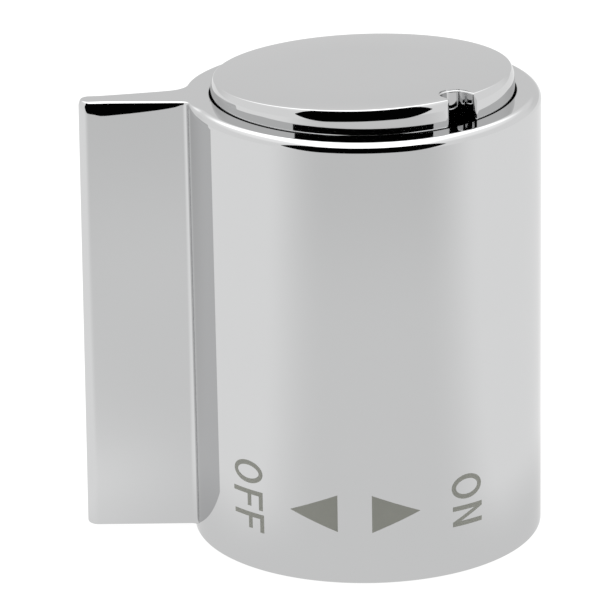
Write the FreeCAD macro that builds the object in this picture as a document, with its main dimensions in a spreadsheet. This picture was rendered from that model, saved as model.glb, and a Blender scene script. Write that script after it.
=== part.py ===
import FreeCAD, Part
import math
import os
import re
import Sketcher

# Lever handle for a shower or tap valve: a chrome-plated drum with a blade lever cast on its side,
# a plug-in cover cap with a pry notch, a serrated insert for the valve spindle and its fixing screw.
# Millimetres. The turning axis is Z, the rim that sits on the valve is at z = 0, the lever points to -X.

SIZES = {
    # drum of the handle body
    "drum_diameter": 46.0,
    "body_height": 59.3,
    "top_edge_radius": 1.0,
    "rim_bevel": 0.3,
    # blade lever
    "lever_reach": 37.25,
    "lever_end_lean": 0.65,
    "lever_root_thickness": 5.95,
    "lever_tip_thickness": 3.45,
    "lever_tip_radius": 1.1,
    "lever_back_radius": 3.0,
    "lever_front_radius": 1.4,
    "lever_foot_lift": 1.05,
    # inside of the drum: skirt, web with the spindle hub on it, seat of the cap
    "skirt_wall": 2.8,
    "skirt_depth": 23.0,
    "web_thickness": 4.0,
    "hub_diameter": 18.0,
    "hub_height": 17.0,
    "rib_count": 6,
    "rib_thickness": 1.8,
    "rib_height": 10.0,
    "casting_bevel": 1.0,
    "cap_clearance": 0.2,
    "cap_seat_depth": 5.0,
    "cap_seat_width": 1.5,
    "bore_mouth_bevel": 0.1,
    # cover cap, standing a little high on the side of its notch
    "cap_diameter": 39.2,
    "cap_rise": 2.5,
    "cap_shoulder_radius": 2.8,
    "cap_shoulder_turn": 30.0,
    "cap_lip_width": 0.12,
    "cap_lip_drop": 0.1,
    "cap_top_thickness": 1.8,
    "cap_skirt_wall": 1.5,
    "cap_seat_gap": 0.05,
    "cap_tilt": 2.15,
    "notch_bearing": 306.0,
    "notch_depth": 3.75,
    "notch_radius": 2.0,
    "notch_wall": 1.2,
    "slot_count": 6,
    "slot_width": 1.4,
    "slot_height": 3.2,
    # serrated insert in the hub
    "insert_diameter": 13.0,
    "insert_flat_depth": 0.8,
    "insert_length": 17.0,
    "insert_clearance": 0.05,
    "insert_floor": 2.5,
    "pilot_diameter": 9.0,
    "pilot_depth": 5.0,
    "spline_diameter": 8.0,
    "spline_teeth": 20,
    "spline_tooth_depth": 0.5,
    # fixing screw
    "screw_diameter": 4.0,
    "screw_length": 13.0,
    "screw_point": 0.6,
    "screw_head_diameter": 8.0,
    "screw_head_height": 2.8,
    "screw_head_bevel": 0.8,
    "screw_hole_clearance": 0.25,
    "screw_seat_clearance": 0.6,
    "screw_seat_depth": 1.0,
    "cross_span": 4.6,
    "cross_slot": 1.1,
    "cross_depth": 1.6,
}

doc = FreeCAD.newDocument("tap_handle")
sheet = doc.addObject("Spreadsheet::Sheet", "Sizes")
for row, (alias, size) in enumerate(SIZES.items(), 1):
    sheet.set(f"A{row}", alias)
    sheet.set(f"B{row}", str(size))
    sheet.setAlias(f"B{row}", alias)
doc.recompute()

# Heights and radii that several features share, as formulas of the sheet
DRUM_R = "drum_diameter / 2"
CAP_R = "cap_diameter / 2"
CAP_BORE_R = f"({CAP_R} + cap_clearance)"
WEB_TOP = "(skirt_depth + web_thickness)"
HUB_TOP = f"({WEB_TOP} + hub_height)"
SCREW_HOLE_R = "(screw_diameter / 2 + screw_hole_clearance)"
SCREW_SEAT = f"({HUB_TOP} - screw_seat_depth)"
CAP_SKIRT = f"((cap_seat_depth - cap_seat_gap - {CAP_R} * sin(cap_tilt)) / cos(cap_tilt))"
SCREW_SEAT_R = "(screw_head_diameter / 2 + screw_seat_clearance)"


def value(formula):
    """Number that a formula of the sheet's names gives."""
    return float(sheet.evalExpression(formula))


def bind(target, prop, formula):
    """Ties a property to a formula of the sheet's names."""
    names = re.sub(r"[a-z_]+", lambda m: f"Sizes.{m[0]}" if m[0] in SIZES else m[0], formula)
    target.setExpression(prop, names)


def new_body(name):
    body = doc.addObject("PartDesign::Body", name)
    body.Label = name
    return body


def origin_item(body, role):
    return next(item for item in body.Origin.OriginFeatures if item.Role == role)


def new_sketch(body, name, plane, height=None):
    """Sketch on one of the body's own origin planes, lifted along its normal where a height is given."""
    sketch = body.newObject("Sketcher::SketchObject", name)
    sketch.AttachmentSupport = [(origin_item(body, plane), "")]
    sketch.MapMode = "FlatFace"
    if height:
        bind(sketch, "AttachmentOffset.Base.z", height)
    return sketch


def pin_point(sketch, curve, end, across, up):
    """Holds one end of a curve at formulas for its two coordinates."""
    for kind, axis, formula in (("DistanceX", -2, across), ("DistanceY", -1, up)):
        if formula == "0":
            sketch.addConstraint(Sketcher.Constraint("PointOnObject", curve, end, axis))
        else:
            held = sketch.addConstraint(
                Sketcher.Constraint(kind, -1, 1, curve, end, value(formula)))
            bind(sketch, f"Constraints[{held}]", formula)


def draw_outline(sketch, corners):
    """Closed outline through (across, up) corners. A third item is the radius of the arc that ends at the
    corner: the arc bulges to the right of the way that the outline runs, or to the left after a minus."""
    ends = []
    for index, corner in enumerate(corners):
        start = FreeCAD.Vector(value(corners[index - 1][0]), value(corners[index - 1][1]), 0)
        stop = FreeCAD.Vector(value(corner[0]), value(corner[1]), 0)
        if len(corner) == 2:
            curve = sketch.addGeometry(Part.LineSegment(start, stop))
            ends.append((curve, 1, 2))
            continue
        leftward = corner[2].startswith("-")
        radius_formula = corner[2].lstrip("-")
        radius = value(radius_formula)
        chord = stop - start
        away = FreeCAD.Vector(-chord.y, chord.x, 0).normalize()
        middle = (start + stop) * 0.5
        sink = math.sqrt(max(radius ** 2 - (chord.Length / 2) ** 2, 0.0))
        centre = middle - away * sink if leftward else middle + away * sink
        circle = Part.Circle(centre, FreeCAD.Vector(0, 0, 1), radius)
        first, last = (stop, start) if leftward else (start, stop)
        curve = sketch.addGeometry(Part.ArcOfCircle(
            circle, circle.parameter(first), circle.parameter(last)))
        ends.append((curve, 2, 1) if leftward else (curve, 1, 2))
        held = sketch.addConstraint(Sketcher.Constraint("Radius", curve, radius))
        bind(sketch, f"Constraints[{held}]", radius_formula)
    for index, corner in enumerate(corners):
        curve, _, stop = ends[index]
        following, start, _ = ends[(index + 1) % len(ends)]
        sketch.addConstraint(Sketcher.Constraint("Coincident", curve, stop, following, start))
        pin_point(sketch, curve, stop, corner[0], corner[1])


def draw_circle(sketch, across, up, radius):
    centre = FreeCAD.Vector(value(across), value(up), 0)
    curve = sketch.addGeometry(Part.Circle(centre, FreeCAD.Vector(0, 0, 1), value(radius)))
    pin_point(sketch, curve, 3, across, up)
    held = sketch.addConstraint(Sketcher.Constraint("Radius", curve, value(radius)))
    bind(sketch, f"Constraints[{held}]", radius)


def revolve(body, name, sketch, kind="Revolution"):
    feature = body.newObject(f"PartDesign::{kind}", name)
    feature.Profile = sketch
    feature.ReferenceAxis = (sketch, ["V_Axis"])
    feature.Angle = 360
    doc.recompute()
    return feature


def pad(body, name, sketch, length, both_ways=False):
    feature = body.newObject("PartDesign::Pad", name)
    feature.Profile = sketch
    bind(feature, "Length", length)
    if both_ways:
        feature.SideType = "Symmetric"
    doc.recompute()
    return feature


def pocket(body, name, sketch, length, way="up"):
    """Cut from the sketch plane along its normal, against it or both ways. It has to take material away."""
    before = body.Shape.Volume
    feature = body.newObject("PartDesign::Pocket", name)
    feature.Profile = sketch
    bind(feature, "Length", length)
    feature.Reversed = way == "up"
    if way == "both":
        feature.SideType = "Symmetric"
    doc.recompute()
    if math.isclose(body.Shape.Volume, before):
        raise RuntimeError(f"{name} cuts nothing")
    return feature


def repeat_round(body, name, feature, count):
    """Copies a feature evenly round the body's Z axis."""
    pattern = body.newObject("PartDesign::PolarPattern", name)
    pattern.Originals = [feature]
    pattern.Axis = (origin_item(body, "Z_Axis"), [""])
    pattern.Angle = 360
    bind(pattern, "Occurrences", count)
    body.Tip = pattern
    doc.recompute()
    return pattern


def dress_edges(body, kind, name, feature, wanted, size):
    """Fillet or chamfer on the edges of a feature that a test picks by their place."""
    dressed = body.newObject(f"PartDesign::{kind}", name)
    edges = enumerate(feature.Shape.Edges, 1)
    dressed.Base = (feature, [f"Edge{index}" for index, edge in edges if wanted(edge)])
    bind(dressed, "Radius" if kind == "Fillet" else "Size", size)
    doc.recompute()
    return dressed


# Handle body: one zinc die casting, polished and plated. Its outside is a drum with a blade lever on it.
handle = new_body("handle_body")
drum_section = new_sketch(handle, "drum_section", "XZ_Plane")
draw_outline(drum_section, [
    ("0", "0"),
    (DRUM_R, "0"),
    (DRUM_R, "body_height"),
    ("0", "body_height"),
])
revolve(handle, "drum", drum_section)

# Blade lever: a wedge in plan, flush with the drum's top and a little short of its rim
lever_plan = new_sketch(handle, "lever_plan", "XY_Plane", "lever_foot_lift")
LEVER_ROOT = f"({DRUM_R} - skirt_wall / 2)"
LEVER_TAPER = f"((lever_root_thickness - lever_tip_thickness) / (lever_reach - {LEVER_ROOT}))"
LEVER_HALF_AT_AXIS = f"((lever_root_thickness + {LEVER_TAPER} * {LEVER_ROOT}) / 2)"
draw_outline(lever_plan, [
    ("0", f"-{LEVER_HALF_AT_AXIS}"),
    ("0", LEVER_HALF_AT_AXIS),
    ("-lever_reach", "lever_tip_thickness / 2"),
    ("-lever_reach", "-lever_tip_thickness / 2"),
])
pad(handle, "lever", lever_plan, "body_height - lever_foot_lift")

# Draft on the lever's end, which leans back towards the top
lever_draft = new_sketch(handle, "lever_draft", "XZ_Plane")
draw_outline(lever_draft, [
    ("-lever_reach", "lever_foot_lift"),
    ("lever_end_lean - lever_reach", "body_height"),
    ("-lever_reach", "body_height"),
])
drafted_lever = pocket(handle, "lever_end", lever_draft, "2 * lever_tip_thickness", way="both")

height = value("body_height")
drum_r = value(DRUM_R)
tip = value("lever_tip_thickness")
reach = value("lever_reach - lever_end_lean / 2")
TOUCH = 0.001  # places closer than this count as one


def stands_on_lever(edge, distance, sides=(-1, 1)):
    """Upright edge of the lever at a distance from the turning axis, on its front (-1) or back (1)."""
    middle = edge.valueAt((edge.FirstParameter + edge.LastParameter) / 2)
    upright = edge.BoundBox.ZLength > height / 2
    on_side = middle.x < 0 and math.copysign(1, middle.y) in sides
    return upright and on_side and abs(math.hypot(middle.x, middle.y) - distance) < tip


def lies_at(edge, level):
    box = edge.BoundBox
    return abs(box.ZMin - level) < TOUCH and abs(box.ZMax - level) < TOUCH


# Lever's root, hollow at the back and crisper in front, its round end, the polished run round the top of drum
# and lever, and a bevel round the rim
outside = drafted_lever
for kind, name, wanted, size in (
        ("Fillet", "lever_back", lambda edge: stands_on_lever(edge, drum_r, [1]), "lever_back_radius"),
        ("Fillet", "lever_front", lambda edge: stands_on_lever(edge, drum_r, [-1]), "lever_front_radius"),
        ("Fillet", "lever_tip", lambda edge: stands_on_lever(edge, reach), "lever_tip_radius"),
        ("Fillet", "top_edge", lambda edge: lies_at(edge, height), "top_edge_radius"),
        ("Chamfer", "foot_edge", lambda edge: lies_at(edge, 0), "rim_bevel")):
    outside = dress_edges(handle, kind, name, outside, wanted, size)

# Inside of the drum: an open skirt that goes over the valve, a web with the spindle hub on it, and the
# stepped bore that the cap plugs into. The tool passes the rim and the top a little.
inside_section = new_sketch(handle, "inside_section", "XZ_Plane")
SKIRT_R = f"({DRUM_R} - skirt_wall)"
LEDGE = "(body_height - cap_seat_depth)"
LEDGE_R = f"({CAP_BORE_R} - cap_seat_width)"
BELOW_RIM = "-skirt_wall"
ABOVE_TOP = "(body_height + cap_rise)"
draw_outline(inside_section, [
    ("0", BELOW_RIM),
    (SKIRT_R, BELOW_RIM),
    (SKIRT_R, "skirt_depth - casting_bevel"),
    (f"{SKIRT_R} - casting_bevel", "skirt_depth"),
    (SCREW_HOLE_R, "skirt_depth"),
    (SCREW_HOLE_R, SCREW_SEAT),
    (SCREW_SEAT_R, SCREW_SEAT),
    (SCREW_SEAT_R, HUB_TOP),
    ("hub_diameter / 2", HUB_TOP),
    ("hub_diameter / 2", f"{WEB_TOP} + casting_bevel"),
    ("hub_diameter / 2 + casting_bevel", WEB_TOP),
    (f"{LEDGE_R} - casting_bevel", WEB_TOP),
    (LEDGE_R, f"{WEB_TOP} + casting_bevel"),
    (LEDGE_R, LEDGE),
    (CAP_BORE_R, LEDGE),
    (CAP_BORE_R, "body_height - bore_mouth_bevel"),
    (f"{CAP_BORE_R} + bore_mouth_bevel", "body_height"),
    (f"{CAP_BORE_R} + bore_mouth_bevel", ABOVE_TOP),
    ("0", ABOVE_TOP),
])
revolve(handle, "inside", inside_section, kind="Groove")

# Ribs from the hub to the wall, on the web
rib_side = new_sketch(handle, "rib_side", "XZ_Plane")
RIB_INNER = "(insert_diameter + hub_diameter) / 4"
RIB_OUTER = f"({LEDGE_R} + {DRUM_R}) / 2"
RIB_FOOT = "skirt_depth + web_thickness / 2"
RIB_TOP = f"{WEB_TOP} + rib_height"
draw_outline(rib_side, [
    (RIB_INNER, RIB_FOOT),
    (RIB_OUTER, RIB_FOOT),
    (RIB_OUTER, RIB_TOP),
    (RIB_INNER, RIB_TOP),
])
rib = pad(handle, "rib", rib_side, "rib_thickness", both_ways=True)
repeat_round(handle, "ribs", rib, "rib_count")


def double_d(sketch, play):
    """Round outline of the insert with a flat on each side, opened by a play all round."""
    radius = f"(insert_diameter / 2 + {play})"
    flat = f"({radius} - insert_flat_depth)"
    corner = f"sqrt({radius}^2 - {flat}^2)"
    draw_outline(sketch, [
        (corner, f"-{flat}"),
        (corner, flat, radius),
        (f"-{corner}", flat),
        (f"-{corner}", f"-{flat}", radius),
    ])


insert_socket = new_sketch(handle, "insert_socket_outline", "XY_Plane", "skirt_depth")
double_d(insert_socket, "insert_clearance")
pocket(handle, "insert_socket", insert_socket, "insert_length")

# Cover cap: moulded and chrome-plated. Its origin is on the axis at the level of the drum's top.
cap = new_body("cover_cap")
cap_section = new_sketch(cap, "cap_section", "XZ_Plane")
SHOULDER_ACROSS = f"({CAP_R} - cap_shoulder_radius * (1 - cos(cap_shoulder_turn)))"
SHOULDER_UP = "(cap_rise - cap_lip_drop)"
draw_outline(cap_section, [
    ("0", f"-{CAP_SKIRT}"),
    (CAP_R, f"-{CAP_SKIRT}"),
    (CAP_R, f"{SHOULDER_UP} - cap_shoulder_radius * sin(cap_shoulder_turn)"),
    (SHOULDER_ACROSS, SHOULDER_UP, "cap_shoulder_radius"),
    (f"{SHOULDER_ACROSS} - cap_lip_width", "cap_rise"),
    ("0", "cap_rise"),
])
revolve(cap, "turned_cap", cap_section)

# Hollow under the cap, with a wall left standing round the notch
hollow_plan = new_sketch(cap, "hollow_plan", "XY_Plane", f"-{CAP_SKIRT}")
HOLLOW_R = f"({CAP_R} - cap_skirt_wall)"
NOTCH_MIDDLE = f"({CAP_R} - notch_depth + notch_radius)"
NOTCH_OUTER = "(notch_radius + notch_wall)"
MEET_ACROSS = f"({NOTCH_MIDDLE} ^ 2 + {HOLLOW_R} ^ 2 - {NOTCH_OUTER} ^ 2) / (2 * {NOTCH_MIDDLE})"
MEET_UP = f"sqrt({HOLLOW_R} ^ 2 - ({MEET_ACROSS}) ^ 2)"
draw_outline(hollow_plan, [
    (MEET_ACROSS, MEET_UP, f"-{NOTCH_OUTER}"),
    (f"-{HOLLOW_R}", "0", HOLLOW_R),
    (MEET_ACROSS, f"-{MEET_UP}", HOLLOW_R),
])
pocket(cap, "hollow", hollow_plan, f"{CAP_SKIRT} + cap_rise - cap_top_thickness")

# Pry notch, from the cap's edge to a round end
notch_plan = new_sketch(cap, "notch_plan", "XY_Plane", f"-{CAP_SKIRT}")
NOTCH_MOUTH = f"{CAP_R} + notch_radius"
draw_outline(notch_plan, [
    (NOTCH_MOUTH, "notch_radius"),
    (NOTCH_MIDDLE, "notch_radius"),
    (f"{CAP_R} - notch_depth", "0", "notch_radius"),
    (NOTCH_MIDDLE, "-notch_radius", "notch_radius"),
    (NOTCH_MOUTH, "-notch_radius"),
])
pocket(cap, "notch", notch_plan, f"{CAP_SKIRT} + 2 * cap_rise")

# Slots that let the skirt spring in the bore
slot_plan = new_sketch(cap, "slot_plan", "XY_Plane", f"-{CAP_SKIRT}")
SLOT_INNER = f"{CAP_R} - 1.5 * cap_skirt_wall"
SLOT_OUTER = f"{CAP_R} + cap_skirt_wall / 2"
draw_outline(slot_plan, [
    ("slot_width / 2", SLOT_INNER),
    ("slot_width / 2", SLOT_OUTER),
    ("-slot_width / 2", SLOT_OUTER),
    ("-slot_width / 2", SLOT_INNER),
])
slot = pocket(cap, "slot", slot_plan, "slot_height")
repeat_round(cap, "slots", slot, "slot_count")
turn = FreeCAD.Rotation(FreeCAD.Vector(0, 0, 1), value("notch_bearing"))
lift = FreeCAD.Rotation(FreeCAD.Vector(0, -1, 0), value("cap_tilt"))
cap.Placement = FreeCAD.Placement(FreeCAD.Vector(0, 0, height), turn * lift)

# Serrated insert: a moulded bush with flats in the hub. Its origin is at the mouth of its socket.
insert = new_body("spline_insert")
insert_outline = new_sketch(insert, "insert_outline", "XY_Plane")
double_d(insert_outline, "0")
pad(insert, "bush", insert_outline, "insert_length")
GRIP_DEPTH = "(insert_length - insert_floor)"
for name, radius, depth in (
        ("grip_bore", "spline_diameter / 2 - spline_tooth_depth", GRIP_DEPTH),
        ("pilot", "pilot_diameter / 2", "pilot_depth"),
        ("screw_passage", SCREW_HOLE_R, "insert_length")):
    round_plan = new_sketch(insert, f"{name}_plan", "XY_Plane")
    draw_circle(round_plan, "0", "0", radius)
    pocket(insert, name, round_plan, depth)

# One serration, square-sided, repeated round the bore
groove_plan = new_sketch(insert, "groove_plan", "XY_Plane")
GROOVE_BACK = "spline_diameter / 2 - 2 * spline_tooth_depth"
draw_outline(groove_plan, [
    ("spline_diameter / 2", "0"),
    (GROOVE_BACK, "2 * spline_tooth_depth"),
    (GROOVE_BACK, "-2 * spline_tooth_depth"),
])
groove = pocket(insert, "groove", groove_plan, GRIP_DEPTH)
repeat_round(insert, "serrations", groove, "spline_teeth")
insert.Placement = FreeCAD.Placement(FreeCAD.Vector(0, 0, value("skirt_depth")), FreeCAD.Rotation())

# Fixing screw: pan head on the hub's seat, shank down through hub and insert, cross recess on top
screw = new_body("fixing_screw")
screw_section = new_sketch(screw, "screw_section", "XZ_Plane")
draw_outline(screw_section, [
    ("0", "-screw_length"),
    ("screw_diameter / 2 - screw_point", "-screw_length"),
    ("screw_diameter / 2", "screw_point - screw_length"),
    ("screw_diameter / 2", "0"),
    ("screw_head_diameter / 2", "0"),
    ("screw_head_diameter / 2", "screw_head_height - screw_head_bevel"),
    ("screw_head_diameter / 2 - screw_head_bevel", "screw_head_height"),
    ("0", "screw_head_height"),
])
revolve(screw, "turned_screw", screw_section)
cross_plan = new_sketch(screw, "cross_plan", "XY_Plane", "screw_head_height")


def opposite(formula):
    return formula[1:] if formula.startswith("-") else f"-{formula}"


arm = [("cross_span / 2", "-cross_slot / 2"), ("cross_span / 2", "cross_slot / 2"),
       ("cross_slot / 2", "cross_slot / 2")]
cross = []
for quarter in range(4):
    cross += arm
    arm = [(opposite(up), across) for across, up in arm]
draw_outline(cross_plan, cross)
pocket(screw, "cross_recess", cross_plan, "cross_depth", way="down")
screw.Placement = FreeCAD.Placement(FreeCAD.Vector(0, 0, value(SCREW_SEAT)), FreeCAD.Rotation())

doc.recompute()
for item in doc.Objects:
    if {"Invalid", "Error"} & set(item.State):
        raise RuntimeError(f"{item.Label} failed to build")
nodes = (handle, cap, insert, screw)
for node in nodes:
    if node.Shape.isNull() or not node.Shape.isValid():
        raise RuntimeError(f"{node.Label} has no valid shape")
os.makedirs("parts", exist_ok=True)
for node in nodes:
    node.Shape.exportStep(f"parts/{node.Label}.step")
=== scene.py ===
import math

import bmesh
import bpy
from mathutils import Matrix, Vector


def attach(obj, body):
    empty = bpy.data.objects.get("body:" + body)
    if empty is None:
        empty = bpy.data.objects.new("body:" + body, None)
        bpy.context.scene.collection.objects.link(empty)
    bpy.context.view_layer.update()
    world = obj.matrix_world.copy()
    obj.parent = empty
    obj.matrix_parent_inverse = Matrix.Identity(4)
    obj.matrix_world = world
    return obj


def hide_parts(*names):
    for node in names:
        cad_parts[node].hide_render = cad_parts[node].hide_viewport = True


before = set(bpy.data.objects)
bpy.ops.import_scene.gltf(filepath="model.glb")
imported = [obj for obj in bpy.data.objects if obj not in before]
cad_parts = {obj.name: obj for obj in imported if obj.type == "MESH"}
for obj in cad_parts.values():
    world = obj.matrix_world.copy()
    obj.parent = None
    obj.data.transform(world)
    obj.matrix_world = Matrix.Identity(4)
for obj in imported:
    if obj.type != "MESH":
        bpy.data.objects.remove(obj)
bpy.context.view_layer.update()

MM = 0.001


# Handle body: the drum and its blade lever are one zinc die casting, buffed and chrome plated. It is open
# below for the valve's collar, has a web with the spindle hub half way up, and a stepped bore for the cap.
BODY_HEIGHT = 59.3
DRUM_R = 22.99
LEVER_REACH = 37.25
LEVER_LEAN = 0.65
LEVER_LIFT = 1.05
LEVER_TIP_R = 1.5
LEVER_BACK_R = 3.0
LEVER_FRONT_R = 0.9
LEVER_TAPER = 0.0799
LEVER_HALF_AT_AXIS = 4.7
LEVER_SLOPE = math.atan(LEVER_TAPER)
LEVER_OFFSET = LEVER_HALF_AT_AXIS * math.cos(LEVER_SLOPE)
FOOT_ROUND = 0.3
TOP_BREAK = math.radians(32)
TOP_SAG = 0.3
DRUM_ROLL = (1.375, 1.13)
LEVER_ROOT_ROLL = (0.6, 0.28)
LEVER_END_ROLL = (3.9, 0.28)
LEVER_TIP_ROLL = (1.5, 0.28)
LEVER_ROOT_FADE = (0.03, 0.1)
LEVER_ROLL_GROWTH = 0.62
LEVER_END_FADE = 0.86
LEVER_END_EASE = 0.25
DRUM_POINTS = 320
LEVER_POINTS = (("root", 12), ("flank", 18), ("tip", 10))
LEAST_TURN = 0.0001
ROUND_STEPS = 16
EDGE_STEPS = 4
SMOOTH_ANGLE = math.radians(32)
WELD = 0.0005
CAP_BORE_R = 19.8
BORE_MOUTH_ROUND = (0.005, 0.15)
BORE_MOUTH_FADE = (0.15, 0.3)
SKIRT_R = 20.2
SKIRT_DEPTH = 23.0
CASTING_BEVEL = 1.0
CAP_LEDGE = (18.3, 54.3)
WEB_TOP = 27.0
HUB_R = 9.0
HUB_TOP = 44.0
SCREW_SEAT = (4.6, 43.0)
SCREW_HOLE_R = 2.25
SOCKET_R = 6.55
SOCKET_FLAT = 5.75
SOCKET_TOP = 40.0
RIBS = 6
RIB_THICKNESS = 1.8
RIB_SPAN = (7.75, 20.5)
RIB_HEIGHTS = (25.0, 37.0)


def lerp(a, b, share):
    return a + (b - a) * share


def root_radius(side):
    return LEVER_BACK_R if side > 0 else LEVER_FRONT_R


def root_angle(side):
    """Angle at the axis between the lever's middle and the centre of its root radius on one side."""
    radius = root_radius(side)
    return math.pi / 2 - LEVER_SLOPE - math.acos((LEVER_OFFSET + radius) / (DRUM_R + radius))


def body_stations():
    """Stations round the outline, anticlockwise from the lever's front root: (stretch, share, side)."""
    stations = [("drum", step / DRUM_POINTS, 1) for step in range(DRUM_POINTS)]
    for stretch, steps in LEVER_POINTS:
        stations += [(stretch, step / steps, 1) for step in range(steps)]
    stations.append(("tip", 1.0, 1))
    for stretch, steps in reversed(LEVER_POINTS):
        stations += [(stretch, 1 - step / steps, -1) for step in range(steps)]
    return stations


def body_outline(station, height, inset):
    """Point of the outline at a height, moved inwards by an inset."""
    stretch, share, side = station
    if stretch == "drum":
        angle = lerp(math.pi + root_angle(-1), 3 * math.pi - root_angle(1), share)
        return Vector(((DRUM_R - inset) * math.cos(angle), (DRUM_R - inset) * math.sin(angle)))
    root = root_angle(side)
    radius = root_radius(side)
    normal = Vector((-math.sin(LEVER_SLOPE), math.cos(LEVER_SLOPE)))
    root_centre = Vector((-math.cos(root), math.sin(root))) * (DRUM_R + radius)
    tip_x = LEVER_TIP_R - LEVER_REACH + LEVER_LEAN * (height - LEVER_LIFT) / (BODY_HEIGHT - LEVER_LIFT)
    tip_y = (LEVER_OFFSET - LEVER_TIP_R + tip_x * math.sin(LEVER_SLOPE)) / math.cos(LEVER_SLOPE)
    tip_centre = Vector((tip_x, tip_y))
    if stretch == "root":
        angle = -lerp(root, math.pi / 2 - LEVER_SLOPE, share)
        point = root_centre + (radius + inset) * Vector((math.cos(angle), math.sin(angle)))
    elif stretch == "flank":
        start = root_centre - radius * normal
        stop = tip_centre + LEVER_TIP_R * normal
        point = start.lerp(stop, share) - inset * normal
    else:
        angle = lerp(math.pi / 2 + LEVER_SLOPE, math.pi, share)
        point = tip_centre + (LEVER_TIP_R - inset) * Vector((math.cos(angle), math.sin(angle)))
    return Vector((point.x, side * point.y))


def ease(low, high, value):
    """Smooth step from 0 at a low value to 1 at a high one."""
    share = min(max((value - low) / (high - low), 0.0), 1.0)
    return share * share * (3 - 2 * share)


def top_roll(station):
    """Radii of the buffed top edge, below and above its break. The lower is broadest by the lever's end."""
    stretch, share, _ = station
    if stretch == "drum":
        beside = ease(0.0, LEVER_ROOT_FADE[0], share) * ease(0.0, LEVER_ROOT_FADE[1], 1 - share)
        return [lerp(a, b, beside) for a, b in zip(LEVER_ROOT_ROLL, DRUM_ROLL)]
    if stretch == "root":
        return LEVER_ROOT_ROLL
    if stretch == "flank":
        grown = share ** LEVER_ROLL_GROWTH
        broad, tight = [lerp(a, b, grown) for a, b in zip(LEVER_ROOT_ROLL, LEVER_END_ROLL)]
        return broad * (1 - LEVER_END_EASE * ease(LEVER_END_FADE, 1.0, share)), tight
    return lerp(LEVER_END_ROLL[0] * (1 - LEVER_END_EASE), LEVER_TIP_ROLL[0], share), LEVER_TIP_ROLL[1]


def top_height(angle):
    """Level of the top, which the buffing has taken down a little in front."""
    return BODY_HEIGHT - TOP_SAG * max(-math.sin(angle), 0.0) ** 2


def top_profile(station, angle, turn):
    """Height and inset on the top edge where its surface has turned inwards."""
    broad, tight = top_roll(station)
    below = min(turn, TOP_BREAK)
    beyond = max(turn, TOP_BREAK)
    inset = broad * (1 - math.cos(below)) + tight * (math.cos(TOP_BREAK) - math.cos(beyond))
    left = broad * (math.sin(TOP_BREAK) - math.sin(below)) + tight * (1 - math.sin(beyond))
    return top_height(angle) - left, inset


def start_ring(name, places):
    """New piece from a ring of points, in edit mode with the ring selected."""
    bpy.ops.object.select_all(action="DESELECT")
    bpy.ops.mesh.primitive_circle_add(vertices=len(places), radius=1.0)
    piece = bpy.context.object
    piece.name = piece.data.name = name
    bpy.ops.object.mode_set(mode="EDIT")
    shape = bmesh.from_edit_mesh(piece.data)
    ring = list(shape.verts)
    for point, place in zip(ring, places):
        point.co = Vector(place) * MM
    return piece, shape, ring


def next_ring(shape, ring, places):
    """Extrudes the selected ring of edges and sets the new ring's points in their places."""
    bpy.ops.mesh.extrude_edges_move()
    fresh = {point for point in shape.verts if point.select}
    drawn = []
    for point, place in zip(ring, places):
        new = next(edge.other_vert(point) for edge in point.link_edges if edge.other_vert(point) in fresh)
        new.co = Vector(place) * MM
        drawn.append(new)
    return drawn


def finish_mesh():
    """Merges doubles, turns the faces outwards and leaves edit mode with smooth shading."""
    bpy.ops.mesh.select_all(action="SELECT")
    bpy.ops.mesh.remove_doubles(threshold=WELD * MM)
    bpy.ops.mesh.normals_make_consistent(inside=False)
    bpy.ops.object.mode_set(mode="OBJECT")
    bpy.ops.object.shade_smooth_by_angle(angle=SMOOTH_ANGLE)


def apply_modifier(piece, kind, **settings):
    bpy.context.view_layer.objects.active = piece
    modifier = piece.modifiers.new(kind.lower(), kind)
    for key, setting in settings.items():
        setattr(modifier, key, setting)
    bpy.ops.object.modifier_apply(modifier=modifier.name)


def cut(piece, tool, operation="DIFFERENCE"):
    """Boolean of a piece with a tool, which is used up."""
    apply_modifier(piece, "BOOLEAN", object=tool, operation=operation, solver="EXACT")
    bpy.data.objects.remove(tool)


def even_normals(piece):
    """Lets the broad faces set the shading, so that flat and round surfaces mirror cleanly."""
    apply_modifier(piece, "WEIGHTED_NORMAL", mode="FACE_AREA", weight=80, keep_sharp=True)


# Bearing of each station, taken where the top edge ends and kept rising all the way round
stations = body_stations()
azimuths = []
for station in stations:
    plan = body_outline(station, *top_profile(station, 0.0, math.pi / 2))
    angle = math.atan2(plan.y, plan.x) % (2 * math.pi)
    if azimuths:
        if angle < azimuths[-1] - math.pi:
            angle += 2 * math.pi
        angle = max(angle, azimuths[-1] + LEAST_TURN)
    azimuths.append(angle)


def outline_ring(profile):
    """Places of a ring on the outside, from the (height, inset) that a profile has at each station."""
    places = []
    for station, angle in zip(stations, azimuths):
        height, inset = profile(station, angle)
        plan = body_outline(station, height, inset)
        places.append((plan.x, plan.y, height))
    return places


def round_ring(radius, height):
    return [(radius * math.cos(angle), radius * math.sin(angle), height) for angle in azimuths]


def mouth_ring(turn):
    """Ring on the rounded mouth of the cap's bore, which is crisp where the cap touches it in front."""
    places = []
    for angle in azimuths:
        size = lerp(*BORE_MOUTH_ROUND, ease(*BORE_MOUTH_FADE, abs(angle - 3 * math.pi / 2)))
        radius = CAP_BORE_R + size * (1 - math.sin(turn))
        places.append((radius * math.cos(angle), radius * math.sin(angle),
                       top_height(angle) - size * (1 - math.cos(turn))))
    return places


def socket_ring(height):
    """Ring of the insert's socket: round, with a flat on each side."""
    places = []
    for angle in azimuths:
        radius = min(SOCKET_R, SOCKET_FLAT / max(abs(math.sin(angle)), 0.1))
        places.append((radius * math.cos(angle), radius * math.sin(angle), height))
    return places


def lever_share(station):
    """0 on the drum, 1 on the lever and between them in the root."""
    return {"drum": 0.0, "root": station[1]}.get(station[0], 1.0)


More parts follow.
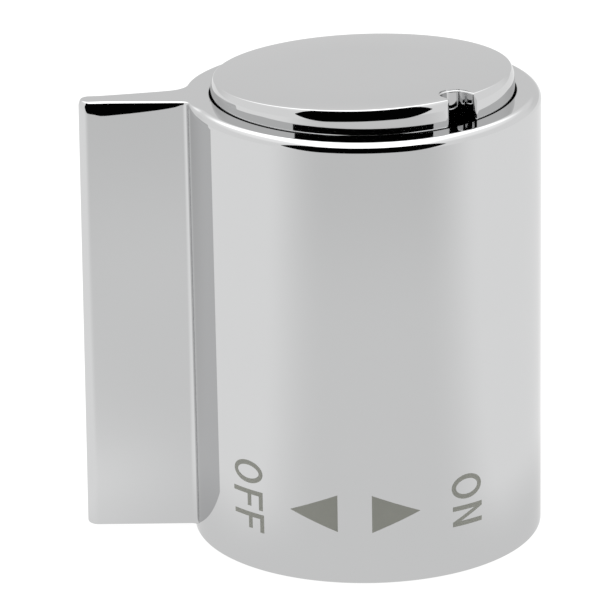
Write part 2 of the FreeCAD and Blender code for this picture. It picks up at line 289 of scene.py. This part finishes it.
# Rings from the rim up the outside, over the top, down the bore and through to the skirt
body_rings = []
for step in range(EDGE_STEPS + 1):
    turn = math.pi / 2 * step / EDGE_STEPS
    inset = FOOT_ROUND * (1 - math.sin(turn))
    body_rings.append(round_ring(DRUM_R - inset, FOOT_ROUND * (1 - math.cos(turn))))
body_rings.append(round_ring(DRUM_R, LEVER_LIFT))
for step in range(EDGE_STEPS + 1):
    turn = math.pi / 2 * step / EDGE_STEPS
    rise = LEVER_LIFT + FOOT_ROUND * (1 - math.cos(turn))
    inset = FOOT_ROUND * (1 - math.sin(turn))
    body_rings.append(outline_ring(lambda station, angle: (rise, inset * lever_share(station))))
for step in range(ROUND_STEPS + 1):
    turn = math.pi / 2 * step / ROUND_STEPS
    body_rings.append(outline_ring(lambda station, angle: top_profile(station, angle, turn)))
for step in range(EDGE_STEPS + 1):
    body_rings.append(mouth_ring(math.pi / 2 * step / EDGE_STEPS))
for radius, height in (
        (CAP_BORE_R, CAP_LEDGE[1]), CAP_LEDGE,
        (CAP_LEDGE[0], WEB_TOP + CASTING_BEVEL), (CAP_LEDGE[0] - CASTING_BEVEL, WEB_TOP),
        (HUB_R + CASTING_BEVEL, WEB_TOP), (HUB_R, WEB_TOP + CASTING_BEVEL), (HUB_R, HUB_TOP),
        (SCREW_SEAT[0], HUB_TOP), SCREW_SEAT, (SCREW_HOLE_R, SCREW_SEAT[1]), (SCREW_HOLE_R, SOCKET_TOP)):
    body_rings.append(round_ring(radius, height))
body_rings += [socket_ring(SOCKET_TOP), socket_ring(SKIRT_DEPTH)]
for radius, height in (
        (SKIRT_R - CASTING_BEVEL, SKIRT_DEPTH), (SKIRT_R, SKIRT_DEPTH - CASTING_BEVEL), (SKIRT_R, 0.0)):
    body_rings.append(round_ring(radius, height))
handle_body, shape, ring = start_ring("handle_casting", body_rings[0])
for places in body_rings[1:] + body_rings[:1]:
    ring = next_ring(shape, ring, places)
finish_mesh()

# The ribs on the web are cast with the rest
bpy.ops.object.select_all(action="DESELECT")
bpy.ops.mesh.primitive_cube_add(size=1.0)
ribs = bpy.context.object
ribs.scale = Vector((RIB_SPAN[1] - RIB_SPAN[0], RIB_THICKNESS, RIB_HEIGHTS[1] - RIB_HEIGHTS[0])) * MM
ribs.location = Vector((sum(RIB_SPAN) / 2, 0.0, sum(RIB_HEIGHTS) / 2)) * MM
bpy.ops.object.transform_apply()
bpy.ops.object.mode_set(mode="EDIT")
bpy.ops.mesh.select_all(action="SELECT")
bpy.ops.mesh.spin(steps=RIBS, dupli=True, angle=2 * math.pi, center=(0, 0, 0), axis=(0, 0, 1))
bpy.ops.mesh.select_all(action="SELECT")
bpy.ops.mesh.remove_doubles(threshold=0.01 * MM)
bpy.ops.object.mode_set(mode="OBJECT")
cut(handle_body, ribs, "UNION")
bpy.ops.object.shade_smooth_by_angle(angle=SMOOTH_ANGLE)
even_normals(handle_body)


class Wire:
    """Socket in a material's node tree. Arithmetic on it adds Math nodes."""

    def __init__(self, tree, socket=None):
        self.tree = tree
        self.socket = socket

    def add(self, kind, settings=None, sockets=None, output=0):
        """New node of a kind: its settings first, then the values or links of its sockets."""
        node = self.tree.nodes.new(kind)
        for key, setting in (settings or {}).items():
            if key == "stops":
                for stop, (position, colour) in zip(node.color_ramp.elements, setting):
                    stop.position = position
                    stop.color = colour
            else:
                setattr(node, key, setting)
        for key, feed in (sockets or {}).items():
            if isinstance(feed, Wire):
                self.tree.links.new(feed.socket, node.inputs[key])
            else:
                node.inputs[key].default_value = feed
        return Wire(self.tree, node.outputs[output]) if node.outputs else None

    def maths(self, operation, first, second):
        return self.add("ShaderNodeMath", {"operation": operation}, {0: first, 1: second})

    def __add__(self, other):
        return self.maths("ADD", self, other)

    def __radd__(self, other):
        return self.maths("ADD", other, self)

    def __sub__(self, other):
        return self.maths("SUBTRACT", self, other)

    def __rsub__(self, other):
        return self.maths("SUBTRACT", other, self)

    def __mul__(self, other):
        return self.maths("MULTIPLY", self, other)

    def __rmul__(self, other):
        return self.maths("MULTIPLY", other, self)


def new_finish(name):
    """Empty material and a wire to start its nodes from."""
    material = bpy.data.materials.new(name)
    material.use_nodes = True
    material.node_tree.nodes.clear()
    return material, Wire(material.node_tree)


def close_finish(start, surface):
    start.add("ShaderNodeOutputMaterial", sockets={"Surface": surface})


def dress(piece, material):
    piece.data.materials.clear()
    piece.data.materials.append(material)


def bright_chrome(name, tint, haze_size):
    """Mirror plating: a faint cloudiness left by buffing and wiping shows only in its gloss."""
    material, start = new_finish(name)
    place = start.add("ShaderNodeTexCoord", output="Object")
    haze = start.add("ShaderNodeTexNoise", sockets={
        "Vector": place, "Scale": haze_size, "Detail": 4.0, "Roughness": 0.6})
    wipe_place = start.add("ShaderNodeMapping", sockets={
        "Vector": place, "Rotation": (0.3, 0.1, 0.4), "Scale": (40.0, 40.0, 900.0)})
    wipe = start.add("ShaderNodeTexNoise", sockets={
        "Vector": wipe_place, "Scale": 1.0, "Detail": 3.0, "Roughness": 0.5})
    shade = start.add("ShaderNodeMix", {"data_type": "RGBA"}, {
        "Factor": haze, "A": (*tint, 1.0), "B": (*[0.985 * part for part in tint], 1.0)}, output="Result")
    close_finish(start, start.add("ShaderNodeBsdfPrincipled", sockets={
        "Base Color": shade, "Metallic": 1.0, "Roughness": 0.015 + haze * 0.02 + wipe * 0.012,
        "Specular Tint": (0.9, 0.9, 0.9, 1.0)}))
    return material


dress(handle_body, bright_chrome("bright_chrome_on_zinc", (0.62, 0.623, 0.626), 120.0))
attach(handle_body, "root")
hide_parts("handle_body")


# Cover cap: a chrome-plated plastic moulding that plugs into the top of the drum and hides the screw. It has
# a rounded shoulder, a springy skirt and a pry notch, and stands a little high at the notch. The slots of its
# skirt, out of sight in the bore, are only in the solid.
CAP_R = 19.6
CAP_RISE = 2.46
CAP_SHOULDER_R = 2.8
CAP_SHOULDER_TURN = math.radians(30)
CAP_LIP_R = 0.2
CAP_DOME = math.radians(3.2)
CAP_FLAT_R = 10.0
CAP_WAIST = -1.0
CAP_DRAW_IN = 0.18
CAP_FRONT = math.radians(-40.6)
CAP_SKIRT_END = -4.2177
CAP_HOLLOW_R = 18.1
CAP_HOLLOW_TOP = 0.7
CAP_TILT = math.radians(2.15)
NOTCH_BEARING = math.radians(306.6)
NOTCH_DEPTH = 3.75
NOTCH_R = 1.8
NOTCH_WALL = 1.2
NOTCH_CORNERS = (0.5, 1.3)
NOTCH_EDGE = 0.22
CAP_POINTS = 320
CAP_STEPS = 10
HOLLOW_POINTS = 120
WALL_POINTS = 64
CORNER_STEPS = 8
END_STEPS = 24
NOTCH_EDGE_STEPS = 6
PAST_END = 1.0


def circle_places(points, radius, height, centre=(0.0, 0.0)):
    places = []
    for step in range(points):
        angle = 2 * math.pi * step / points
        places.append((centre[0] + radius * math.cos(angle), centre[1] + radius * math.sin(angle), height))
    return places


def stacked(name, rings):
    """Closed piece from rings of equal length stacked on each other, with flat ends."""
    piece, shape, ring = start_ring(name, rings[0])
    bpy.ops.mesh.edge_face_add()
    for places in rings[1:]:
        ring = next_ring(shape, ring, places)
    bpy.ops.mesh.edge_face_add()
    finish_mesh()
    return piece


lip_drop = CAP_LIP_R * (1 - math.sin(CAP_SHOULDER_TURN))
shoulder_r = CAP_R - CAP_SHOULDER_R
shoulder_z = CAP_RISE - lip_drop - CAP_SHOULDER_R * math.sin(CAP_SHOULDER_TURN)
lip_r = shoulder_r + (CAP_SHOULDER_R - CAP_LIP_R) * math.cos(CAP_SHOULDER_TURN)
lip_z = CAP_RISE - CAP_LIP_R
cap_rings = []
for height in (CAP_SKIRT_END, CAP_WAIST):
    places = circle_places(CAP_POINTS, 1.0, height)
    for index, (x, y, _) in enumerate(places):
        facing = max(x * math.cos(CAP_FRONT) + y * math.sin(CAP_FRONT), 0.0)
        radius = CAP_R - CAP_DRAW_IN * facing ** 2
        places[index] = (radius * x, radius * y, height)
    cap_rings.append(places)
for step in range(CAP_STEPS + 1):
    turn = CAP_SHOULDER_TURN * step / CAP_STEPS
    cap_rings.append(circle_places(CAP_POINTS, shoulder_r + CAP_SHOULDER_R * math.cos(turn),
                                   shoulder_z + CAP_SHOULDER_R * math.sin(turn)))
for step in range(1, CAP_STEPS + 1):
    turn = lerp(CAP_SHOULDER_TURN, math.pi / 2 - CAP_DOME, step / CAP_STEPS)
    cap_rings.append(circle_places(CAP_POINTS, lip_r + CAP_LIP_R * math.cos(turn),
                                   lip_z + CAP_LIP_R * math.sin(turn)))
dome_r = (lip_r + CAP_LIP_R * math.sin(CAP_DOME) - CAP_FLAT_R) / math.sin(CAP_DOME)
dome_z = lip_z + (CAP_LIP_R - dome_r) * math.cos(CAP_DOME)
for step in range(1, CAP_STEPS + 1):
    turn = lerp(math.pi / 2 - CAP_DOME, math.pi / 2, step / CAP_STEPS)
    cap_rings.append(circle_places(CAP_POINTS, CAP_FLAT_R + dome_r * math.cos(turn),
                                   dome_z + dome_r * math.sin(turn)))
cover_cap = stacked("cover_cap_shell", cap_rings)

# Hollow under the cap, with a wall left round the notch
hollow = stacked("cap_hollow", [circle_places(HOLLOW_POINTS, CAP_HOLLOW_R, height)
                                for height in (CAP_SKIRT_END - PAST_END, CAP_HOLLOW_TOP)])
notch_middle = CAP_R - NOTCH_DEPTH + NOTCH_R
wall_r = NOTCH_R + NOTCH_WALL
wall_heights = (CAP_SKIRT_END - 2 * PAST_END, CAP_HOLLOW_TOP + PAST_END)
notch_wall = stacked("notch_wall", [circle_places(WALL_POINTS, wall_r, height, (notch_middle, 0.0))
                                    for height in wall_heights])
cut(hollow, notch_wall)
cut(cover_cap, hollow)


def notch_side(spread, rounding):
    """Half of the notch's outline, from outside the cap round the corner at its edge to the notch's end."""
    corner_y = NOTCH_R + rounding
    corner_x = math.sqrt((CAP_R - rounding) ** 2 - corner_y ** 2)
    half = [Vector((CAP_R + 2 * PAST_END, corner_y + spread))]
    for step in range(CORNER_STEPS + 1):
        angle = lerp(math.atan2(corner_y, corner_x), -math.pi / 2, step / CORNER_STEPS)
        outward = Vector((math.cos(angle), math.sin(angle)))
        half.append(Vector((corner_x, corner_y)) + (rounding - spread) * outward)
    for step in range(END_STEPS + 1):
        angle = lerp(math.pi / 2, math.pi, step / END_STEPS)
        half.append(Vector((notch_middle + (NOTCH_R + spread) * math.cos(angle),
                            (NOTCH_R + spread) * math.sin(angle))))
    return half


def notch_plan(spread):
    """Outline of the notch, open to the outside."""
    one, other = [notch_side(spread, rounding) for rounding in NOTCH_CORNERS]
    return one + [Vector((point.x, -point.y)) for point in reversed(other[:-1])]


notch_rings = [(0.0, CAP_SKIRT_END - PAST_END)]
for step in range(NOTCH_EDGE_STEPS + 1):
    turn = math.pi / 2 * step / NOTCH_EDGE_STEPS
    notch_rings.append((NOTCH_EDGE * (1 - math.cos(turn)), CAP_RISE - NOTCH_EDGE * (1 - math.sin(turn))))
notch_rings.append((NOTCH_EDGE, CAP_RISE + PAST_END))
notch = stacked("pry_notch", [[(point.x, point.y, height) for point in notch_plan(spread)]
                              for spread, height in notch_rings])
cut(cover_cap, notch)
cover_cap.data.transform(Matrix.Translation((0.0, 0.0, BODY_HEIGHT * MM))
                         @ Matrix.Rotation(NOTCH_BEARING, 4, "Z")
                         @ Matrix.Rotation(-CAP_TILT, 4, "Y"))
bpy.context.view_layer.objects.active = cover_cap
cover_cap.select_set(True)
bpy.ops.object.shade_smooth_by_angle(angle=SMOOTH_ANGLE)
even_normals(cover_cap)
dress(cover_cap, bright_chrome("bright_chrome_on_plastic", (0.625, 0.627, 0.63), 160.0))
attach(cover_cap, "root")
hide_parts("cover_cap")


# Marks: OFF, two arrowheads and ON, etched matt into the plating round the foot of the drum. The words read
# downwards, with the tops of their letters towards the right. They are thin plates here, sunk in the drum and
# standing a few microns proud of it so that they show.
MARK_SINK = 0.04
MARK_PROUD = 0.007
MARK_STRIP = 0.35
MARK_STRIPS = 60
MARK_WELD = 0.002
STROKE = 0.63
LOOP_POINTS = 64
F_ARM = (0.88, 0.62)
N_SLANT = 0.27
LETTERS = (
    ("O", (-52.65, -40.45), (14.95, 11.85)),
    ("F", (-53.1, -40.6), (10.95, 8.4)),
    ("F", (-52.75, -40.2), (7.85, 5.35)),
    ("O", (23.3, 34.7), (13.5, 10.15)),
    ("N", (23.7, 35.0), (9.3, 6.55)),
)
ARROWS = (
    ((-30.3, 9.6), (-14.3, 7.1), (-14.3, 12.15)),
    ((12.4, 9.7), (-3.3, 12.15), (-3.3, 7.05)),
)


def arc(degrees):
    return DRUM_R * math.radians(degrees)


# The letters and arrowheads are drawn flat on the unrolled drum, cut into strips and wrapped round it
mark_parts = []
flat_outlines = [[Vector((arc(bearing), height)) for bearing, height in corners] for corners in ARROWS]
for letter, bearings, heights in LETTERS:
    foot = Vector((arc(bearings[0]), heights[0]))
    tall = arc(bearings[1]) - foot.x
    wide = foot.y - heights[1]
    if letter == "O":
        bpy.ops.object.select_all(action="DESELECT")
        bpy.ops.mesh.primitive_circle_add(vertices=LOOP_POINTS, radius=1.0, fill_type="NGON")
        loop = bpy.context.object
        for point in loop.data.vertices:
            spot = foot + Vector(((1 + point.co.x) * tall / 2, (point.co.y - 1) * wide / 2))
            point.co = spot.to_3d() * MM
        bpy.ops.object.mode_set(mode="EDIT")
        bpy.ops.mesh.select_all(action="SELECT")
        bpy.ops.mesh.inset(thickness=STROKE * MM)
        bpy.ops.mesh.delete(type="FACE")
        bpy.ops.object.mode_set(mode="OBJECT")
        mark_parts.append(loop)
        continue
    if letter == "F":
        arm, level = F_ARM[0] * wide, F_ARM[1] * tall
        corners = [(0.0, 0.0), (0.0, tall), (wide, tall), (wide, tall - STROKE), (STROKE, tall - STROKE),
                   (STROKE, level), (arm, level), (arm, level - STROKE), (STROKE, level - STROKE),
                   (STROKE, 0.0)]
    else:
        slant = N_SLANT * tall
        corners = [(0.0, 0.0), (0.0, tall), (STROKE, tall), (wide - STROKE, slant), (wide - STROKE, tall),
                   (wide, tall), (wide, 0.0), (wide - STROKE, 0.0), (STROKE, tall - slant), (STROKE, 0.0)]
    flat_outlines.append([foot + Vector((up, -along)) for along, up in corners])
for outline in flat_outlines:
    bpy.ops.object.select_all(action="DESELECT")
    bpy.ops.mesh.primitive_circle_add(vertices=len(outline), radius=1.0, fill_type="NGON")
    mark = bpy.context.object
    for point, spot in zip(mark.data.vertices, outline):
        point.co = spot.to_3d() * MM
    mark_parts.append(mark)
for part in mark_parts:
    part.select_set(True)
bpy.context.view_layer.objects.active = mark_parts[0]
bpy.ops.object.join()
marks = bpy.context.object
marks.name = marks.data.name = "etched_marks"
bpy.ops.object.mode_set(mode="EDIT")
bpy.ops.mesh.select_all(action="SELECT")
bpy.ops.mesh.quads_convert_to_tris()
for step in range(-MARK_STRIPS, MARK_STRIPS + 1):
    bpy.ops.mesh.select_all(action="SELECT")
    bpy.ops.mesh.bisect(plane_co=(step * MARK_STRIP * MM, 0, 0), plane_no=(1, 0, 0))
bpy.ops.mesh.select_all(action="SELECT")
bpy.ops.mesh.remove_doubles(threshold=MARK_WELD * MM)
bpy.ops.mesh.normals_make_consistent(inside=False)
bpy.ops.object.mode_set(mode="OBJECT")
for point in marks.data.vertices:
    angle = point.co.x / (DRUM_R * MM)
    radius = (DRUM_R + MARK_PROUD) * MM
    point.co = Vector((radius * math.sin(angle), -radius * math.cos(angle), point.co.y))
bpy.ops.object.mode_set(mode="EDIT")
facing = bmesh.from_edit_mesh(marks.data)
for face in facing.faces:
    centre = face.calc_center_median()
    if face.normal.x * centre.x + face.normal.y * centre.y < 0:
        face.normal_flip()
bmesh.update_edit_mesh(marks.data)
bpy.ops.object.mode_set(mode="OBJECT")
apply_modifier(marks, "SOLIDIFY", thickness=MARK_SINK * MM, offset=-1.0)
etch, start = new_finish("matt_etch")
place = start.add("ShaderNodeTexCoord", output="Object")
grain = start.add("ShaderNodeTexNoise", sockets={
    "Vector": place, "Scale": 9000.0, "Detail": 2.0, "Roughness": 0.7})
blotch = start.add("ShaderNodeTexNoise", sockets={
    "Vector": place, "Scale": 500.0, "Detail": 3.0, "Roughness": 0.6})
shade = start.add("ShaderNodeMix", {"data_type": "RGBA"}, {
    "Factor": grain * 0.6 + blotch * 0.4, "A": (0.255, 0.258, 0.23, 1.0), "B": (0.33, 0.334, 0.3, 1.0)},
    output="Result")
pitting = start.add("ShaderNodeBump", sockets={"Height": grain, "Strength": 0.3, "Distance": 0.02 * MM})
close_finish(start, start.add("ShaderNodeBsdfPrincipled", sockets={
    "Base Color": shade, "Metallic": 0.4, "Roughness": 0.55 + grain * 0.2, "Normal": pitting}))
dress(marks, etch)
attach(marks, "root")


# Serrated insert: an off-white acetal bush pressed into the hub, with flats against turning and a bore that
# grips the valve's toothed spindle.
acetal, start = new_finish("off_white_acetal")
place = start.add("ShaderNodeTexCoord", output="Object")
flow = start.add("ShaderNodeTexNoise", sockets={
    "Vector": place, "Scale": 350.0, "Detail": 5.0, "Roughness": 0.6})
stipple = start.add("ShaderNodeTexNoise", sockets={
    "Vector": place, "Scale": 4000.0, "Detail": 2.0, "Roughness": 0.5})
shade = start.add("ShaderNodeMix", {"data_type": "RGBA"}, {
    "Factor": flow, "A": (0.74, 0.72, 0.66, 1.0), "B": (0.8, 0.785, 0.73, 1.0)}, output="Result")
skin = start.add("ShaderNodeBump", sockets={"Height": stipple, "Strength": 0.25, "Distance": 0.03 * MM})
close_finish(start, start.add("ShaderNodeBsdfPrincipled", sockets={
    "Base Color": shade, "Roughness": 0.38 + flow * 0.15, "Normal": skin}))
dress(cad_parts["spline_insert"], acetal)


# Fixing screw: a stainless pan-head screw with a cross recess, driven from above through the hub into the
# valve's spindle.
steel, start = new_finish("stainless_screw")
place = start.add("ShaderNodeTexCoord", output="Object")
drawn_place = start.add("ShaderNodeMapping", sockets={"Vector": place, "Scale": (1500.0, 1500.0, 150.0)})
drawn = start.add("ShaderNodeTexNoise", sockets={
    "Vector": drawn_place, "Scale": 1.0, "Detail": 4.0, "Roughness": 0.6})
shade = start.add("ShaderNodeMix", {"data_type": "RGBA"}, {
    "Factor": drawn, "A": (0.52, 0.52, 0.51, 1.0), "B": (0.64, 0.64, 0.63, 1.0)}, output="Result")
close_finish(start, start.add("ShaderNodeBsdfPrincipled", sockets={
    "Base Color": shade, "Metallic": 1.0, "Roughness": 0.22 + drawn * 0.15}))
dress(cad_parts["fixing_screw"], steel)


# Studio: a white table in a white light tent, which is open to the dark room on the camera's side. The room
# and the sheet of light that the chrome mirrors in place of the table show only in reflections.
VIEW_TURN = math.radians(-4.577)
FLOOR_HALF = 3.0
TABLE_LEVEL = -0.1
SHEET_LEVEL = -0.2
GLOW_TURN = math.radians(6)
ROOM_DISTANCE = 0.4
ROOM_HALF_ANGLE = math.radians(53)
ROOM_FOOT_ANGLE = math.radians(26)
ROOM_TOP_ANGLE = math.radians(38)
ROOM_WAIST = 0.19
ROOM_TOP = 0.459
ROOM_FOOT_CURVE = 1.8
ROOM_TOP_CURVE = 2.5
ROOM_PANELS = 40
bpy.ops.object.select_all(action="DESELECT")
bpy.ops.mesh.primitive_plane_add(size=2 * FLOOR_HALF, location=(0, 0, TABLE_LEVEL * MM))
table = bpy.context.object
table.name = "table"
paper, start = new_finish("white_paper")
back = start.add("ShaderNodeNewGeometry", output="Backfacing")
sheet = start.add("ShaderNodeBsdfPrincipled", sockets={
    "Base Color": (0.12, 0.12, 0.12, 1.0), "Roughness": 0.9, "Specular IOR Level": 0.0,
    "Emission Color": (0.96, 0.96, 0.96, 1.0), "Emission Strength": 1.0})
clear = start.add("ShaderNodeBsdfTransparent")
close_finish(start, start.add("ShaderNodeMixShader", sockets={0: back, 1: sheet, 2: clear}))
dress(table, paper)
table.visible_glossy = False

# Sheet of light that the chrome mirrors in place of the table. Its glow carries painted shade: it is dimmer
# close round the drum's foot, as a painted contact shadow, and dimmer in front, as painted shade from the
# dark room.
bpy.ops.object.select_all(action="DESELECT")
bpy.ops.mesh.primitive_plane_add(size=2 * FLOOR_HALF, location=(0, 0, SHEET_LEVEL * MM))
light_sheet = bpy.context.object
light_sheet.name = "light_sheet"
lit, start = new_finish("light_sheet")
place = start.add("ShaderNodeTexCoord", output="Object")
turned = start.add("ShaderNodeMapping", sockets={"Vector": place, "Rotation": (0.0, 0.0, -VIEW_TURN)})
bearing = start.add("ShaderNodeVectorMath", {"operation": "NORMALIZE"}, {0: turned})
toward = start.add("ShaderNodeVectorMath", {"operation": "DOT_PRODUCT"}, {
    0: bearing, 1: (math.sin(GLOW_TURN), -math.cos(GLOW_TURN), 0.0)}, output="Value")
distance = start.add("ShaderNodeVectorMath", {"operation": "LENGTH"}, {0: place}, output="Value")
# Painted shade: the glow falls off in front, towards the dark room, and dips close to the drum's foot, where
# the part would shade the table.
in_front = start.add("ShaderNodeMapRange", {"interpolation_type": "SMOOTHSTEP"}, {
    "Value": toward, "From Min": 0.36, "From Max": 0.9})
front_glow_shaded = start.add("ShaderNodeMapRange", {"interpolation_type": "SMOOTHSTEP"}, {
    "Value": distance, "From Min": 0.11, "From Max": 0.2, "To Min": 0.87, "To Max": 0.79})
side_glow_shaded_at_foot = start.add("ShaderNodeMapRange", {"interpolation_type": "SMOOTHSTEP"}, {
    "Value": distance, "From Min": 0.024, "From Max": 0.05, "To Min": 0.88, "To Max": 1.05})
close_finish(start, start.add("ShaderNodeBsdfPrincipled", sockets={
    "Base Color": (0.0, 0.0, 0.0, 1.0), "Roughness": 1.0, "Specular IOR Level": 0.0,
    "Emission Color": side_glow_shaded_at_foot + in_front * (front_glow_shaded - side_glow_shaded_at_foot), "Emission Strength": 1.0}))
dress(light_sheet, lit)
light_sheet.visible_camera = False

# Dark room on the camera's side: a curved screen that narrows towards its ends
room_places = []
for step in range(ROOM_PANELS + 1):
    aside = ROOM_HALF_ANGLE * (2 * step / ROOM_PANELS - 1)
    angle = -math.pi / 2 + VIEW_TURN + aside
    rise = max(abs(aside) - ROOM_FOOT_ANGLE, 0.0) / (ROOM_HALF_ANGLE - ROOM_FOOT_ANGLE)
    fall = max(abs(aside) - ROOM_TOP_ANGLE, 0.0) / (ROOM_HALF_ANGLE - ROOM_TOP_ANGLE)
    room_places.append((ROOM_DISTANCE * math.cos(angle), ROOM_DISTANCE * math.sin(angle),
                        ROOM_WAIST * rise ** ROOM_FOOT_CURVE,
                        lerp(ROOM_TOP, ROOM_WAIST, fall ** ROOM_TOP_CURVE)))
bpy.ops.object.select_all(action="DESELECT")
bpy.ops.mesh.primitive_grid_add(x_subdivisions=ROOM_PANELS, y_subdivisions=1, size=1.0)
room = bpy.context.object
room.name = "dark_room"
for index, point in enumerate(room.data.vertices):
    x, y, foot, top = room_places[index % len(room_places)]
    point.co = Vector((x, y, top if index > ROOM_PANELS else foot))
dark, start = new_finish("dark_room")
close_finish(start, start.add("ShaderNodeBsdfPrincipled", sockets={
    "Base Color": (0.001, 0.001, 0.001, 1.0), "Roughness": 0.9, "Specular IOR Level": 0.0}))
dress(room, dark)
room.visible_camera = False

# White light tent, dimmer low down at the back and brightest overhead
world = bpy.data.worlds.new("light_tent")
bpy.context.scene.world = world
world.use_nodes = True
world.node_tree.nodes.clear()
start = Wire(world.node_tree)
sky = start.add("ShaderNodeTexCoord", output="Generated")
upward = start.add("ShaderNodeSeparateXYZ", sockets={"Vector": sky}, output="Z")
backward = start.add("ShaderNodeSeparateXYZ", sockets={"Vector": sky}, output="Y")
behind = start.add("ShaderNodeMapRange", {"interpolation_type": "SMOOTHSTEP"}, {
    "Value": backward, "From Min": 0.5, "From Max": 0.85})
dimmed = start.add("ShaderNodeMapRange", {"interpolation_type": "SMOOTHSTEP"}, {
    "Value": upward, "From Min": 0.3, "From Max": 0.42, "To Min": 0.14, "To Max": 0.0})
overhead = start.add("ShaderNodeMapRange", {"interpolation_type": "SMOOTHSTEP"}, {
    "Value": upward, "From Min": 0.45, "From Max": 0.72, "To Min": 0.0, "To Max": 1.2})
sideways = start.add("ShaderNodeSeparateXYZ", sockets={"Vector": sky}, output="X")
narrow = start.add("ShaderNodeMapRange", {"interpolation_type": "SMOOTHSTEP"}, {
    "Value": sideways * sideways, "From Min": 0.1, "From Max": 0.34, "To Min": 1.0, "To Max": 0.2})
start.add("ShaderNodeOutputWorld", sockets={"Surface": start.add("ShaderNodeBackground", sockets={
    "Color": 1.0 - dimmed * behind + overhead * narrow, "Strength": 1.0})})

# Camera, as fitted to the photograph's perspective
CAMERA_PLACE = Vector((0.0, -0.530753, 0.218514))
CAMERA_YAW = -0.01418
CAMERA_PITCH = -0.34211
CAMERA_ROLL = -0.0173
FOCAL_PIXELS = 4298.794
FRAME_PIXELS = 616
bpy.ops.object.camera_add()
camera = bpy.context.object
camera.data.sensor_width = 36.0
camera.data.lens = FOCAL_PIXELS / FRAME_PIXELS * camera.data.sensor_width
ahead = Vector((math.sin(CAMERA_YAW) * math.cos(CAMERA_PITCH),
                math.cos(CAMERA_YAW) * math.cos(CAMERA_PITCH), math.sin(CAMERA_PITCH)))
level = ahead.cross(Vector((0, 0, 1))).normalized()
upright = level.cross(ahead)
right = level * math.cos(CAMERA_ROLL) + upright * math.sin(CAMERA_ROLL)
above = upright * math.cos(CAMERA_ROLL) - level * math.sin(CAMERA_ROLL)
aim = Matrix((right, above, -ahead)).transposed().to_4x4()
camera.matrix_world = Matrix.Rotation(VIEW_TURN, 4, "Z") @ Matrix.Translation(CAMERA_PLACE) @ aim
camera.data.clip_start = 0.01
camera.data.clip_end = 20.0
bpy.context.scene.camera = camera
bpy.context.scene.view_settings.view_transform = "Standard"
